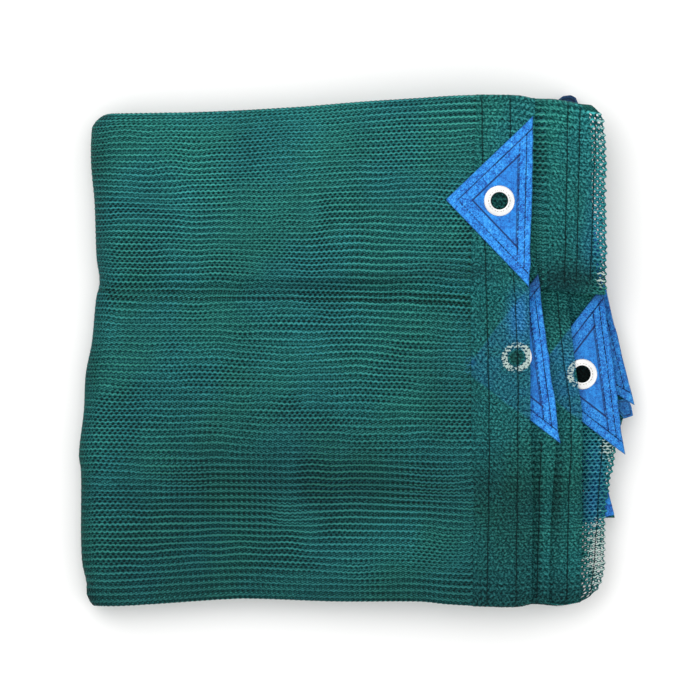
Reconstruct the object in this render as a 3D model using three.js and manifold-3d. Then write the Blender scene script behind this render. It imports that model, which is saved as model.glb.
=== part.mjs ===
// A folded harvest net: one hemmed knitted cloth, with blue tarpaulin patches and metal eyelets.
// Millimetres, +Z up. The cloth lies flat on z = 0, its round fold at -X and its hemmed edges at +X.
import * as THREE from "three";
import { mergeVertices } from "three/addons/utils/BufferGeometryUtils.js";
import Module from "manifold-3d";

const wasm = await Module();
wasm.setup();

// Driving sizes of the cloth
const clothThickness = 1.2;
const hemThickness = 1.8; // the hem is a turned and stitched band
const hemWidth = 43; // from the cloth's edge to the inner line of stitches
const hemStep = 3; // length over which the hem thins to the plain cloth
const turnSquash = 0.85; // the round fold at the left is a little flatter than a half circle

// The cloth is pleated along Y first. Heights in the stack are counted in layers from the middle.
// These are the places along Y, before the outline's own unevenness is added.
const topEnd = 180;
const midEnd = 48; // the short pleat ends here
const lipEnd = -74; // the turned-in flap ends here
const bottomEnd = -184;
// How a layer comes down past a pleat's or flap's end: [distance from it, share of the way still up]
const midStep = [[0, 1], [5, 0.8], [11, 0.2], [16, 0]];
const lipStep = [[0, 1], [16, 0]];
const lipStart = lipEnd + 20; // the layers over the flap are up again before its end

// Spacing of the layers from middle to middle: at the left, and at the right where hems lie together
const spacing = {
  upper: { left: 2.4, right: 3.3 },
  middle: { left: 2.9, right: 3.8 },
  lower: { left: 2.5, right: 3.2 },
};
const spacingFrom = -60; // X where the stack starts to thicken towards the hems
const spacingTo = 82;

// Soft hollows and swells of the whole stack, as a share of its height
const swells = [
  { x: 10, y: -101, alongX: 85, alongY: 17, share: -0.09 },
  { x: -120, y: -140, alongX: 60, alongY: 40, share: -0.05 },
  { x: 35, y: -140, alongX: 60, alongY: 22, share: 0.05 },
  { x: -20, y: 10, alongX: 110, alongY: 40, share: 0.04 },
  { x: -60, y: 120, alongX: 120, alongY: 45, share: 0.05 },
  { x: -175, y: 40, alongX: 30, alongY: 14, share: -0.08 },
  { x: -60, y: 62, alongX: 90, alongY: 12, share: 0.03 },
];

// The outline seen from above: left side by Y, and the top and bottom sides by X
const leftSide = [
  [180, -182], [178, -187], [173, -192], [168, -194], [140, -194.5], [107, -192], [60, -190.5],
  [41, -188.5], [30, -191], [0, -194], [-22, -198.5], [-48, -200], [-77, -203.5], [-90, -202],
  [-137, -202], [-155, -201], [-168, -198], [-177, -197.5], [-184, -193.5],
];
const topSide = [
  [-200, 171], [-178, 173.5], [-150, 174], [-104, 175.5], [-45, 178.5], [5, 182.5], [46, 185],
  [78, 187], [98, 187], [118, 186.5], [129, 184.5], [145, 184], [160, 181.5], [170, 180.5],
  [180, 179],
];
const bottomSide = [
  [-200, -186], [-178, -187], [-148, -185.5], [-97, -182], [-76, -181.5], [-15, -183.5],
  [46, -183.5], [67, -185.5], [98, -187], [118, -187], [129, -185], [149, -186.5], [162, -185],
  [171, -183.5], [180, -182],
];
const midLine = [[-200, 58], [50, 54], [100, 50], [130, 47], [180, 41], [205, 38]];
const lipLine = [[-200, -72], [60, -75], [205, -74]];

// Where each layer's hemmed edge lies, as X at these places along Y, for the top and bottom half
const edgeRows = [180, 170, 110, 50, 15, -15, -45, -75, -100, -125, -165, -177, -184];
const edges = {
  outer: {
    top: [130.5, 130, 128.5, 126, 126.5, 127, 127, 127.5, 128.5, 128.5, 128, 128, 127.5],
    bottom: [168, 170, 171, 174, 171, 165, 162, 160.5, 159.5, 159.5, 159, 159, 159],
  },
  second: {
    top: [129, 128.5, 126, 133.5, 138, 142, 146, 145.5, 143.5, 142, 141, 141, 140.5],
    bottom: [157, 163, 170, 174, 171, 163.5, 161, 159, 158.5, 158.5, 158, 158, 157.5],
  },
  shortUpper: {
    top: [173.5, 180.5, 182, 182, 182, 182, 182, 182, 182, 182, 182, 182, 182],
    bottom: [166, 168, 170, 174, 175, 175, 175, 175, 175, 175, 175, 175, 175],
  },
  shortLower: {
    top: [166, 168, 171, 174, 177, 177, 177, 177, 177, 177, 177, 177, 177],
    bottom: [161, 165, 168, 171, 171, 171, 171, 171, 171, 171, 171, 171, 171],
  },
  third: {
    top: [160, 159, 153, 154, 157.5, 161, 165, 165, 165, 165, 164.5, 164.5, 164],
    bottom: [155, 156, 162, 171, 176.5, 182, 178, 162, 160.5, 159.5, 159, 159, 159],
  },
  inner: {
    top: [168, 170, 172, 177, 184.5, 188, 192, 189.5, 184.5, 182, 180.5, 175.5, 164],
    bottom: [157, 162, 168, 176, 190, 198, 196, 186, 182.5, 189.5, 189.5, 189.5, 189.5],
  },
  flap: {
    top: [125, 125, 125, 125, 125, 125, 125, 125, 125, 125, 125, 125, 125],
    bottom: [149, 149, 149, 149, 149, 149, 149, 149, 149, 149, 149, 149, 149],
  },
};

// The inner layer's loose end is drawn up in the bottom half, so the corner patch shows there
const innerEnd = { from: -60, share: 0.51, startX: -60, fullX: 90 };

// Each layer's height in the stack above the short pleat's end, below it, and below the flap's end
const levels = {
  inner: [0, 0, 0],
  third: [1, 1, 1],
  shortLower: [2, 2, 2],
  shortUpper: [3, 3, 3],
  flap: [3, 3, 3],
  second: [4, 2, 2],
  outer: [5, 3, 4],
};

// The order of the cloth along its length, and where it is creased in even steps
const stepRows = (start, step) => step.map(([distance]) => start - distance);
const flapRows = [-88, -104, -132, -164, -177];
const shortRows = [170, 125, 80];
const bodyRows = [
  ...shortRows, ...stepRows(midEnd, midStep), -10, ...stepRows(lipStart, lipStep), ...flapRows,
];
const upwards = bodyRows.toReversed();
const foldDepth = 1.6; // of a fold between neighbours, along Y
const wrapDepth = 4.8; // of the fold that goes round the third layer's
const wrapInset = 4;
const outerTop = topEnd - foldDepth;
const wrappedTop = topEnd - wrapInset;
const thirdTop = wrappedTop - foldDepth;
const innerTop = topEnd - wrapDepth;
const foldedBottom = bottomEnd + foldDepth;
const shortEnd = midEnd + foldDepth;
const pleats = [
  { layer: "flap", rows: [lipEnd, ...flapRows, foldedBottom], foldTo: bottomEnd, foldSteps: 4 },
  { layer: "outer", rows: [foldedBottom, ...upwards, outerTop], foldTo: topEnd, foldSteps: 4 },
  { layer: "second", rows: [outerTop, ...bodyRows, foldedBottom], foldTo: bottomEnd, foldSteps: 4 },
  { layer: "third", rows: [foldedBottom, ...upwards, thirdTop], foldTo: wrappedTop, foldSteps: 4 },
  { layer: "shortLower", rows: [thirdTop, ...shortRows, shortEnd], foldTo: midEnd, foldSteps: 4 },
  {
    layer: "shortUpper",
    rows: [shortEnd, ...shortRows.toReversed(), innerTop],
    foldTo: topEnd,
    foldSteps: 6,
  },
  { layer: "inner", rows: [innerTop, ...bodyRows, bottomEnd] },
];

// Places along each layer from its hemmed edge to the round fold, as distances and then shares
const hemPlaces = [0, 22, hemWidth, hemWidth + hemStep];
const bodyShares = [0.84, 0.66, 0.47, 0.27, 0.1];
const turnSteps = 6;

// Patches: right-angled triangles on a layer of one half, the long side's middle at x, y
const patchHeight = 62.5; // from the long side to the right-angled corner
const patchThickness = 1;
const patchTip = 1; // the right-angled corner is cut off this short of its point
const overhang = 15; // the most that a patch may stand past its layer
const cutDepth = 80;
const restGap = 0.5; // air between pieces that lie on each other
const underGap = 0.76; // air over an eyelet's lower flange, because the cloth bends there
const overGap = 0.6; // and under its upper one
const seatLift = 0.4; // how far an eyelet's lower flange holds its own layer up
const eyeletInset = 23.4; // from the long side to the eyelet's middle
const patches = [
  { layer: "outer", half: "top", x: 127.6, y: 109, pointsTo: 178.7, lift: 0, aside: 0 },
  { layer: "second", half: "top", x: 140.7, y: -5.5, pointsTo: 187.5, lift: 2.5, aside: -4.2 },
  { layer: "inner", half: "top", x: 188.2, y: -13.9, pointsTo: 187.5, lift: 1.4, aside: 0 },
  { layer: "inner", half: "bottom", x: 188.6, y: 20.8, pointsTo: 194.1, lift: 1.8, aside: 0 },
  { layer: "inner", half: "bottom", x: 135, y: -88.5, pointsTo: -30.3, lift: 1.9, aside: 0 },
  { layer: "second", half: "bottom", x: 167.8, y: 126.1, pointsTo: 191.5, lift: 1.8, aside: 0 },
];
const liftReach = { flat: 58, gone: 105 }; // how far the layers above a patch are pushed up

// Eyelets, sized from the usual 12 mm hole
const eyelet = { hole: 6, barrel: 7.2, flange: 11.3, plate: 0.7, sides: 16 };
const holeRadius = eyelet.barrel + restGap;

const smooth = (from, to, value) => THREE.MathUtils.smoothstep(value, from, to);
const lerp = THREE.MathUtils.lerp;

// A smooth curve through [place, value] rows, in rising or falling order of place.
function along(rows, place) {
  const rising = rows[0][0] < rows[rows.length - 1][0];
  const list = rising ? rows : [...rows].reverse();
  const last = list.length - 1;
  if (place <= list[0][0]) return list[0][1];
  if (place >= list[last][0]) return list[last][1];
  const i = list.findIndex((row) => row[0] > place) - 1;
  const slope = (k) => {
    const a = list[Math.max(k - 1, 0)];
    const b = list[Math.min(k + 1, last)];
    return (b[1] - a[1]) / (b[0] - a[0]);
  };
  const width = list[i + 1][0] - list[i][0];
  const t = (place - list[i][0]) / width;
  const t2 = t * t;
  const t3 = t2 * t;
  return (
    (2 * t3 - 3 * t2 + 1) * list[i][1] +
    (t3 - 2 * t2 + t) * width * slope(i) +
    (3 * t2 - 2 * t3) * list[i + 1][1] +
    (t3 - t2) * width * slope(i + 1)
  );
}

const edgeX = (layer, half, row) =>
  along(edges[layer][half].map((x, i) => [edgeRows[i], x]), row);

// 1 above a step's start, 0 below its foot
function aboveStep(start, step, row) {
  const down = start - row;
  if (down <= 0) return 1;
  const i = step.findIndex(([distance]) => distance > down);
  if (i < 0) return 0;
  const [from, to] = [step[i - 1], step[i]];
  return lerp(from[1], to[1], (down - from[0]) / (to[0] - from[0]));
}

const aboveMid = (row) => aboveStep(midEnd, midStep, row);
const belowLip = (row) => 1 - aboveStep(lipStart, lipStep, row);

function level(layer, row) {
  const [upper, middle, lower] = levels[layer];
  return middle + (upper - middle) * aboveMid(row) + (lower - middle) * belowLip(row);
}

const layerCount = (row) => level("outer", row) + 1;

function swell(x, y) {
  let share = 1;
  for (const s of swells) {
    share += s.share * Math.exp(-(((x - s.x) / s.alongX) ** 2) - ((y - s.y) / s.alongY) ** 2);
  }
  return share;
}

function spacingAt(x, row) {
  const right = smooth(spacingFrom, spacingTo, x);
  const zone = (z) => lerp(z.left, z.right, right);
  const up = aboveMid(row);
  const low = belowLip(row);
  const mean =
    zone(spacing.upper) * up + zone(spacing.lower) * low + zone(spacing.middle) * (1 - up - low);
  return mean * swell(x, row);
}

// A place along Y with the outline's own unevenness at this x
function realY(x, row) {
  const half = clothThickness / 2;
  const knots = [
    [topEnd, along(topSide, x) - half],
    [midEnd, along(midLine, x)],
    [lipEnd, along(lipLine, x)],
    [bottomEnd, along(bottomSide, x) + half],
  ];
  const i = row > midEnd ? 0 : row > lipEnd ? 1 : 2;
  const share = (row - knots[i][0]) / (knots[i + 1][0] - knots[i][0]);
  return lerp(knots[i][1], knots[i + 1][1], share);
}

// The order of the layers, from the middle of the stack out to its underside and its top
const stackOrder = ["inner", "third", "shortLower", "shortUpper", "second", "flap", "outer"];
const halfSign = { bottom: -1, top: 1 };
const rankOf = (half, layer) => halfSign[half] * (stackOrder.indexOf(layer) + 0.5);

// A point of the patch: inwards from the long side, and sideways along it
function patchXY(patch, inwards, sideways) {
  const angle = THREE.MathUtils.degToRad(patch.pointsTo);
  return [
    patch.x + inwards * Math.cos(angle) - sideways * Math.sin(angle),
    patch.y + inwards * Math.sin(angle) + sideways * Math.cos(angle),
  ];
}

// How far the patches and eyelets below push a layer up
function liftAt(x, y, rank) {
  let lift = 0;
  for (const patch of patches) {
    const own = rankOf(patch.half, patch.layer);
    const [px, py] = patchXY(patch, eyeletInset / 2, 0);
    const reach = 1 - smooth(liftReach.flat, liftReach.gone, Math.hypot(x - px, y - py));
    lift += seatLift * reach * smooth(own - 0.8, own - 0.2, rank);
    lift += patch.lift * reach * smooth(own + 0.2, own + 0.8, rank);
  }
  return lift;
}

function middleHeight(x, row, thickness) {
  return (layerCount(row) - 0.5) * spacingAt(x, row) + thickness / 2;
}

// The middle of the cloth at x in the top or bottom half, at a height in layers from the middle
function layerPoint(half, x, row, height, rank, thickness) {
  const y = realY(x, row);
  const z = middleHeight(x, row, thickness) + halfSign[half] * (height + 0.5) * spacingAt(x, row);
  return new THREE.Vector3(x, y, z + liftAt(x, y, rank));
}

// X where the round fold at the left begins
function turnX(row) {
  const left = along(leftSide, row);
  const radius = (layerCount(row) - 0.5) * spacingAt(left, row);
  return left + clothThickness / 2 + turnSquash * radius;
}

function turnPoint(row, height, angle) {
  const x = turnX(row);
  const radius = (height + 0.5) * spacingAt(x, row);
  return new THREE.Vector3(
    x - turnSquash * radius * Math.sin(angle),
    realY(x, row),
    middleHeight(x, row, clothThickness) + radius * Math.cos(angle),
  );
}

// The creases along the cloth's length: runs of each layer, and half circles that join two layers
function lengthwisePlaces() {
  const places = [];
  pleats.forEach(({ layer, rows, foldTo, foldSteps }, i) => {
    for (const row of rows) places.push({ row, from: layer, to: layer, share: 0 });
    for (let k = 1; k < foldSteps; k++) {
      const angle = (Math.PI * k) / foldSteps;
      places.push({
        row: lerp(rows.at(-1), foldTo, Math.sin(angle)),
        from: layer,
        to: pleats[i + 1].layer,
        share: (1 - Math.cos(angle)) / 2,
      });
    }
  });
  return places;
}

// The places across the cloth: hem, body, round fold, body and hem again
function crosswisePlaces() {
  const places = [];
  const run = (half) => [
    ...hemPlaces.map((fromEdge) => ({ half, fromEdge })),
    ...bodyShares.map((share) => ({ half, share })),
    { half, share: 0 },
  ];
  places.push(...run("top"));
  for (let k = 1; k < turnSteps; k++) places.push({ angle: (Math.PI * k) / turnSteps });
  places.push(...run("bottom").reverse());
  return places;
}

function drawnUp(place, across, x) {
  if (place.from !== "inner" || across.half !== "bottom" || place.row > innerEnd.from) return place.row;
  const pull = smooth(innerEnd.startX, innerEnd.fullX, x);
  return innerEnd.from + (place.row - innerEnd.from) * lerp(1, innerEnd.share, pull);
}

const inHem = (across) => across.fromEdge !== undefined && across.fromEdge <= hemWidth;

function clothPoint(place, across) {
  const height = lerp(level(place.from, place.row), level(place.to, place.row), place.share);
  if (across.angle) return turnPoint(place.row, height, across.angle);
  const edge = (row) =>
    lerp(
      edgeX(place.from, across.half, row),
      edgeX(place.to, across.half, row),
      smooth(0, 1, place.share),
    );
  const xOf = (row) => {
    if (across.fromEdge !== undefined) return edge(row) - across.fromEdge;
    return lerp(turnX(place.row), edge(row) - hemWidth - hemStep, across.share);
  };
  const row = drawnUp(place, across, xOf(place.row));
  const thickness = inHem(across) ? hemThickness : clothThickness;
  const rank = lerp(rankOf(across.half, place.from), rankOf(across.half, place.to), place.share);
  return layerPoint(across.half, xOf(row), row, height, rank, thickness);
}

// Which way the sheet faces at each point of its grid
function normalsOf(grid) {
  const at = (i, j) => grid[THREE.MathUtils.clamp(i, 0, grid.length - 1)][j];
  return grid.map((row, i) =>
    row.map((_, j) => {
      const ends = [row[Math.min(j + 1, row.length - 1)], row[Math.max(j - 1, 0)]];
      const across = new THREE.Vector3().subVectors(...ends);
      const lengthways = new THREE.Vector3().subVectors(at(i + 1, j), at(i - 1, j));
      return across.cross(lengthways).normalize();
    }),
  );
}

const shifted = (grid, normals, distanceAt) =>
  grid.map((row, i) => row.map((p, j) => p.clone().addScaledVector(normals[i][j], distanceAt(i, j))));

// The closed sheet between two grids of points
function sheetBetween(upper, lower) {
  const rows = upper.length;
  const columns = upper[0].length;
  const positions = [upper, lower].flat(2).flatMap((p) => [p.x, p.y, p.z]);
  const index = [];
  const top = (i, j) => i * columns + j;
  const under = (i, j) => rows * columns + top(i, j);
  const quad = (a, b, c, d) => index.push(a, b, c, a, c, d);
  for (let i = 0; i < rows - 1; i++) {
    for (let j = 0; j < columns - 1; j++) {
      quad(top(i, j), top(i, j + 1), top(i + 1, j + 1), top(i + 1, j));
      quad(under(i, j), under(i + 1, j), under(i + 1, j + 1), under(i, j + 1));
    }
  }
  const [endRow, endColumn] = [rows - 1, columns - 1];
  for (let j = 0; j < endColumn; j++) {
    quad(top(0, j), under(0, j), under(0, j + 1), top(0, j + 1));
    quad(top(endRow, j + 1), under(endRow, j + 1), under(endRow, j), top(endRow, j));
  }
  for (let i = 0; i < endRow; i++) {
    quad(top(i + 1, 0), under(i + 1, 0), under(i, 0), top(i, 0));
    quad(top(i, endColumn), under(i, endColumn), under(i + 1, endColumn), top(i + 1, endColumn));
  }
  const geometry = new THREE.BufferGeometry();
  geometry.setAttribute("position", new THREE.Float32BufferAttribute(positions, 3));
  geometry.setIndex(index);
  return geometry;
}

function solidFrom(geometry) {
  const bare = geometry.clone();
  bare.deleteAttribute("normal");
  bare.deleteAttribute("uv");
  const merged = mergeVertices(bare, 1e-4);
  const mesh = new wasm.Mesh({
    numProp: 3,
    vertProperties: merged.attributes.position.array,
    triVerts: new Uint32Array(merged.index.array),
  });
  const solid = new wasm.Manifold(mesh);
  if (solid.volume() > 0) return solid;
  mesh.triVerts = mesh.triVerts.map((v, i, all) => all[[i, i + 1, i - 1][i % 3]]);
  return new wasm.Manifold(mesh);
}

function geometryFrom(solid) {
  const mesh = solid.getMesh();
  const geometry = new THREE.BufferGeometry();
  geometry.setAttribute("position", new THREE.BufferAttribute(new Float32Array(mesh.vertProperties), 3));
  geometry.setIndex(new THREE.BufferAttribute(new Uint32Array(mesh.triVerts), 1));
  geometry.computeVertexNormals();
  return geometry;
}

const lengthwise = lengthwisePlaces();
const crosswise = crosswisePlaces();
const clothGrid = lengthwise.map((place) => crosswise.map((across) => clothPoint(place, across)));
const clothNormals = normalsOf(clothGrid);

const facingUp = (normal) => (normal.z < 0 ? normal.clone().negate() : normal);

// One layer's run in one half, as matching grids of points and of the ways their upper face looks
function layerRun({ layer, half }) {
  const ownRow = (_, i) => lengthwise[i].from === layer && lengthwise[i].to === layer;
  const ownColumn = (_, j) => crosswise[j].half === half;
  const pick = (grid) => grid.filter(ownRow).map((row) => row.filter(ownColumn));
  return { points: pick(clothGrid), normals: pick(clothNormals).map((row) => row.map(facingUp)) };
}

// The point of the run nearest to x, y when seen from above, between the grid's own points
function clothUnder({ points, normals }, x, y) {
  let best = { outside: Infinity };
  const corner = (i, j) => ({ p: points[i][j], n: normals[i][j] });
  for (let i = 0; i < points.length - 1; i++) {
    for (let j = 0; j < points[i].length - 1; j++) {
      const [a, c] = [corner(i, j), corner(i + 1, j + 1)];
      for (const b of [corner(i, j + 1), corner(i + 1, j)]) {
        const area = (b.p.x - a.p.x) * (c.p.y - a.p.y) - (c.p.x - a.p.x) * (b.p.y - a.p.y);
        const u = ((b.p.x - x) * (c.p.y - y) - (c.p.x - x) * (b.p.y - y)) / area;
        const v = ((c.p.x - x) * (a.p.y - y) - (a.p.x - x) * (c.p.y - y)) / area;
        const outside = Math.max(-u, -v, u + v - 1, 0) * Math.sqrt(Math.abs(area));
        if (outside < best.outside) best = { outside, shares: [[a, u], [b, v], [c, 1 - u - v]] };
      }
    }
  }
  const mixed = (key) => {
    const sum = new THREE.Vector3();
    for (const [end, share] of best.shares) sum.addScaledVector(end[key], share);
    return sum;
  };
  return { centre: mixed("p"), normal: mixed("n").normalize() };
}

// The same run carried on past its rim, so that a piece on it may stand past the cloth's edge
function carriedOn({ points, normals }) {
  const way = (a, b) => new THREE.Vector3().subVectors(a, b).normalize();
  const past = (a, b) => a.clone().addScaledVector(way(a, b), overhang);
  const longer = (row) => [past(row[0], row[1]), ...row, past(row.at(-1), row.at(-2))];
  const rows = points.map(longer);
  const beyond = (a, b) => a.map((p, j) => past(p, b[j]));
  const same = normals.map((row) => [row[0], ...row, row.at(-1)]);
  return {
    points: [beyond(rows[0], rows[1]), ...rows, beyond(rows.at(-1), rows.at(-2))],
    normals: [same[0], ...same, same.at(-1)],
  };
}

const patchBase = hemThickness / 2 + restGap;

// Where the eyelet stands on its layer, and which way it faces
function eyeletPlace(patch) {
  return clothUnder(layerRun(patch), ...patchXY(patch, eyeletInset, patch.aside));
}

function facing(geometry, place) {
  const turn = new THREE.Quaternion().setFromUnitVectors(new THREE.Vector3(0, 0, 1), place.normal);
  return geometry.applyQuaternion(turn).translate(place.centre.x, place.centre.y, place.centre.z);
}

function punch(place, low, high) {
  const depth = high - low;
  const rod = new THREE.CylinderGeometry(holeRadius, holeRadius, depth, eyelet.sides);
  rod.rotateX(Math.PI / 2).translate(0, 0, low + depth / 2);
  return solidFrom(facing(rod, place));
}

function makeNet() {
  const half = (i, j) => (inHem(crosswise[j]) ? hemThickness : clothThickness) / 2;
  const upper = shifted(clothGrid, clothNormals, half);
  const lower = shifted(clothGrid, clothNormals, (i, j) => -half(i, j));
  let solid = solidFrom(sheetBetween(upper, lower));
  for (const patch of patches) {
    solid = solid.subtract(punch(eyeletPlace(patch), -hemThickness, hemThickness));
  }
  return geometryFrom(solid);
}

// The patch's outline cut from a sheet that lies on its layer
function makePatch(patch) {
  const { points, normals } = carriedOn(layerRun(patch));
  const upper = shifted(points, normals, () => patchBase + patchThickness);
  const lower = shifted(points, normals, () => patchBase);
  const tip = patchHeight - patchTip;
  const corners = [[0, -patchHeight], [0, patchHeight], [tip, patchTip], [tip, -patchTip]];
  const outline = new THREE.Shape(corners.map((c) => new THREE.Vector2(...patchXY(patch, ...c))));
  const cutter = new THREE.ExtrudeGeometry(outline, { depth: cutDepth, bevelEnabled: false });
  const sheet = solidFrom(sheetBetween(upper, lower)).intersect(solidFrom(cutter));
  return geometryFrom(sheet.subtract(punch(eyeletPlace(patch), 0, patchBase + 2 * patchThickness)));
}

function makeEyelet(patch) {
  const under = -hemThickness / 2 - underGap;
  const over = patchBase + patchThickness + overGap;
  const lip = eyelet.plate * 0.35;
  const profile = [
    [eyelet.hole, under - eyelet.plate],
    [eyelet.flange - lip, under - eyelet.plate],
    [eyelet.flange, under - lip],
    [eyelet.flange, under],
    [eyelet.barrel, under],
    [eyelet.barrel, over],
    [eyelet.flange, over],
    [eyelet.flange, over + lip],
    [eyelet.flange - 3 * lip, over + eyelet.plate],
    [eyelet.hole + 2 * lip, over + eyelet.plate],
    [eyelet.hole, over + lip],
    [eyelet.hole, under - eyelet.plate],
  ].map(([r, z]) => new THREE.Vector2(r, z));
  const ring = new THREE.LatheGeometry(profile, eyelet.sides).rotateX(Math.PI / 2);
  return geometryFrom(solidFrom(facing(ring, eyeletPlace(patch))));
}

const netMaterial = new THREE.MeshStandardMaterial({ color: 0x1c6258, roughness: 0.75, metalness: 0 });
const patchMaterial = new THREE.MeshStandardMaterial({ color: 0x2b78dc, roughness: 0.45, metalness: 0 });
const eyeletMaterial = new THREE.MeshStandardMaterial({ color: 0xd8dadb, roughness: 0.28, metalness: 1 });

function named(name, geometry, material) {
  const mesh = new THREE.Mesh(geometry, material.clone());
  mesh.name = name;
  return mesh;
}

const cloth = new THREE.Group();
cloth.add(named("net", makeNet(), netMaterial));
patches.forEach((patch, i) => {
  cloth.add(named(`patch_${i + 1}`, makePatch(patch), patchMaterial));
  cloth.add(named(`eyelet_${i + 1}`, makeEyelet(patch), eyeletMaterial));
});

// The origin is the middle of the underside's box
const box = new THREE.Box3().setFromObject(cloth);
const middle = box.getCenter(new THREE.Vector3());
cloth.position.set(-middle.x, -middle.y, -box.min.z);

export default cloth;
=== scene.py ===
import math
from collections import namedtuple

import bpy
import numpy as np
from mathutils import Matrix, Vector


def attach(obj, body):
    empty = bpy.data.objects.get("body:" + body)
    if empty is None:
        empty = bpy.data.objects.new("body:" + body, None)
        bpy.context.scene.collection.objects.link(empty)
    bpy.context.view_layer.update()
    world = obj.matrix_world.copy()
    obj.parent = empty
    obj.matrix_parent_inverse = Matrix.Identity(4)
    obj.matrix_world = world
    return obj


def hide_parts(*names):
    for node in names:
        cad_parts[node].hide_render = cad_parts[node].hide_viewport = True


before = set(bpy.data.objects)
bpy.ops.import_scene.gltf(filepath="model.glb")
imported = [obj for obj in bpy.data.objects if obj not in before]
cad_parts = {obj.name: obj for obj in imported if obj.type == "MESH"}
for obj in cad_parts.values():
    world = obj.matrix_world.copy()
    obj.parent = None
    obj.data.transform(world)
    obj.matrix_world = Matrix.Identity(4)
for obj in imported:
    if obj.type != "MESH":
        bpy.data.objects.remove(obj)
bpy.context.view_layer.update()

mm = 0.001
fullTurn = 2 * math.pi
print("frame loaded")

# Camera, light and floor
view = {
    "centre": (-5.2, 0.76),   # what the photograph's middle shows, in mm
    "width": 511.7,           # how much of the net's top plane one picture spans
    "plane": 28.0,            # height of that plane
    "height": 6000.0,         # of the camera
    "sensor": 36.0,
    "clip": (0.05, 40.0),     # in metres
}
studio = {   # in metres and watts
    "lights": [   # name, place, width, power
        ("softMain", (-0.7, 1.0, 1.6), 1.9, 14.0),
        ("softSide", (1.4, -0.3, 1.2), 1.5, 4.0),
    ],
    "worldStrength": 0.98,
    "display": "Standard",
    "floorWidth": 8.0,
    "floorHeight": -0.0004,
    "floorColour": (0.95, 0.95, 0.945, 1),
    "floorRoughness": 0.9,
}


def deselectAll():
    for each in bpy.context.selected_objects:
        each.select_set(False)


def placed(name, data):      # a new object in the scene
    piece = bpy.data.objects.new(name, data)
    bpy.context.scene.collection.objects.link(piece)
    return piece


def addCamera():
    data = bpy.data.cameras.new("camera")
    camera = placed("camera", data)
    camera.location = (view["centre"][0] * mm, view["centre"][1] * mm, view["height"] * mm)
    data.sensor_width = view["sensor"]
    data.lens = view["sensor"] * (view["height"] - view["plane"]) / view["width"]
    data.clip_start, data.clip_end = view["clip"]
    bpy.context.scene.camera = camera


def addLight(name, place, width, power):
    data = bpy.data.lights.new(name, "AREA")
    data.shape = "SQUARE"
    data.size = width
    data.energy = power
    lamp = placed(name, data)
    lamp.location = place
    lamp.rotation_euler = (-Vector(place)).to_track_quat("-Z", "Y").to_euler()


def addFloor():
    deselectAll()
    bpy.ops.mesh.primitive_plane_add(size=studio["floorWidth"], location=(0, 0, studio["floorHeight"]))
    floor = bpy.context.object
    floor.name = "floor"
    material = bpy.data.materials.new("paleFloor")
    material.use_nodes = True
    shader = material.node_tree.nodes["Principled BSDF"]
    shader.inputs["Base Color"].default_value = studio["floorColour"]
    shader.inputs["Roughness"].default_value = studio["floorRoughness"]
    floor.data.materials.append(material)


def addWorld():
    world = bpy.data.worlds.new("studio")
    bpy.context.scene.world = world
    world.use_nodes = True
    background = world.node_tree.nodes["Background"]
    background.inputs["Color"].default_value = (1, 1, 1, 1)
    background.inputs["Strength"].default_value = studio["worldStrength"]
    bpy.context.scene.view_settings.view_transform = studio["display"]


addCamera()
for row in studio["lights"]:
    addLight(*row)
addFloor()
addWorld()
print("camera, light and floor placed")

# How the cloth lies, in mm. A row is a height in the folding plan, before its edges are bent to shape
Patch = namedtuple("Patch", "layer half x y angle lift aside")
Place = namedtuple("Place", "row layer other share")         # on a fold, so far on the way to the other layer
Column = namedtuple("Column", "half fromEdge share turn")    # in the hem, in the body or round the left fold
lie = {
    "offset": (-0.4585, 0.0315),     # from the folding plan to the frame
    "clothThickness": 1.2, "hemThickness": 1.8, "hemWidth": 43.0, "hemStep": 3.0,
    "turnSquash": 0.85,
    "topEnd": 180.0, "midEnd": 48.0, "lipEnd": -74.0, "bottomEnd": -184.0,
    "midReach": 16.0, "lipStart": -54.0, "lipReach": 16.0,
    "spacing": {"upper": (2.4, 3.3), "middle": (2.9, 3.8), "lower": (2.5, 3.2)},     # at the left and right
    "spacingFrom": -60.0, "spacingTo": 82.0,
    "swells": [   # x, y, reach along x, reach along y, share
        (10, -101, 85, 17, -.09), (-120, -140, 60, 40, -.05), (35, -140, 60, 22, .05),
        (-20, 10, 110, 40, .04), (-60, 120, 120, 45, .05), (-175, 40, 30, 14, -.08),
        (-60, 62, 90, 12, .03),
    ],
}
leftSide = [   # row, X of the outline
    (180, -182), (178, -187), (173, -192), (168, -194), (140, -194.5), (107, -192), (60, -190.5),
    (41, -188.5), (30, -191), (0, -194), (-22, -198.5), (-48, -200), (-77, -203.5), (-90, -202),
    (-137, -202), (-155, -201), (-168, -198), (-177, -197.5), (-184, -193.5),
]
topSide = [   # X, Y of the outline, and so on for the three lines below
    (-200, 171), (-178, 173.5), (-150, 174), (-104, 175.5), (-45, 178.5), (5, 182.5), (46, 185),
    (78, 187), (98, 187), (118, 186.5), (129, 184.5), (145, 184), (160, 181.5), (170, 180.5), (180, 179),
]
bottomSide = [
    (-200, -186), (-178, -187), (-148, -185.5), (-97, -182), (-76, -181.5), (-15, -183.5),
    (46, -183.5), (67, -185.5), (98, -187), (118, -187), (129, -185), (149, -186.5), (162, -185),
    (171, -183.5), (180, -182),
]
midLine = [(-200, 58), (50, 54), (100, 50), (130, 47), (180, 41), (205, 38)]
lipLine = [(-200, -72), (60, -75), (205, -74)]
edgeRows = [180, 170, 110, 50, 15, -15, -45, -75, -100, -125, -165, -177, -184]
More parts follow.
